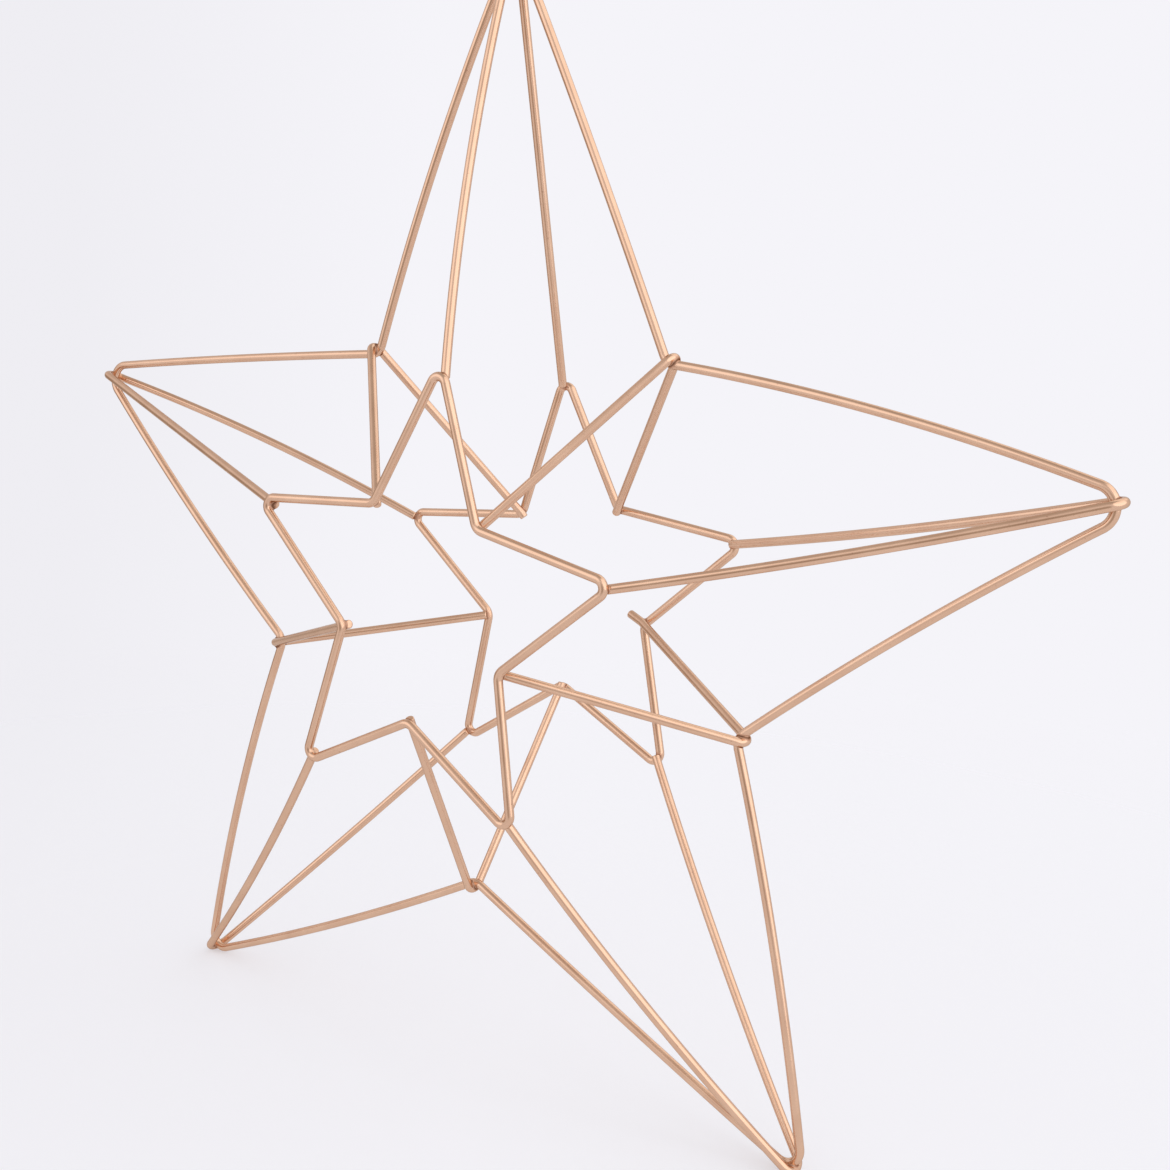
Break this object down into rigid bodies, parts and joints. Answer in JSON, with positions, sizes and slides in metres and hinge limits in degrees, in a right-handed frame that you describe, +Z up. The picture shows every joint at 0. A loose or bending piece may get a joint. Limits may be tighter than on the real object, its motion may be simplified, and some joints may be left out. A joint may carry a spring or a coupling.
{
  "type": "wire star ornament",
  "caption": "Open wire star ornament: an outline star held between smaller front and back stars by bent V-shaped wires, to hang from a hook or lean on a wall as decoration.",
  "frame": {"origin": "on the ground under the middle of the star, at the height of its two lower tips", "axes": "+Z up through the top tip, +X to the right as seen from the front, +Y from the front star to the back star"},
  "size_m": [0.3425, 0.0734, 0.3147],
  "materials": {
    "copper_wire": "satin copper plating",
    "weld": "satin copper plating over a spot weld"
  },
  "bodies": {
    "root": {"outline_star": "copper_wire", "front_star": "copper_wire", "back_star": "copper_wire", "ridge_top": "copper_wire", "ridge_right": "copper_wire", "ridge_right_foot": "copper_wire", "ridge_left_foot": "copper_wire", "ridge_left": "copper_wire", "strut_upper_right": "copper_wire", "strut_lower_right": "copper_wire", "strut_bottom": "copper_wire", "strut_lower_left": "copper_wire", "strut_upper_left": "copper_wire", "weld_ridge_top_outline": "weld", "weld_ridge_top_front": "weld", "weld_ridge_top_back": "weld", "weld_ridge_right_outline": "weld", "weld_ridge_right_front": "weld", "weld_ridge_right_back": "weld", "weld_ridge_right_foot_outline": "weld", "weld_ridge_right_foot_front": "weld", "weld_ridge_right_foot_back": "weld", "weld_ridge_left_foot_outline": "weld", "weld_ridge_left_foot_front": "weld", "weld_ridge_left_foot_back": "weld", "weld_ridge_left_outline": "weld", "weld_ridge_left_front": "weld", "weld_ridge_left_back": "weld", "weld_strut_upper_right_outline": "weld", "weld_strut_upper_right_front": "weld", "weld_strut_upper_right_back": "weld", "weld_strut_lower_right_outline": "weld", "weld_strut_lower_right_front": "weld", "weld_strut_lower_right_back": "weld", "weld_strut_bottom_outline": "weld", "weld_strut_bottom_front": "weld", "weld_strut_bottom_back": "weld", "weld_strut_lower_left_outline": "weld", "weld_strut_lower_left_front": "weld", "weld_strut_lower_left_back": "weld", "weld_strut_upper_left_outline": "weld", "weld_strut_upper_left_front": "weld", "weld_strut_upper_left_back": "weld"}
  },
  "joints": []
}
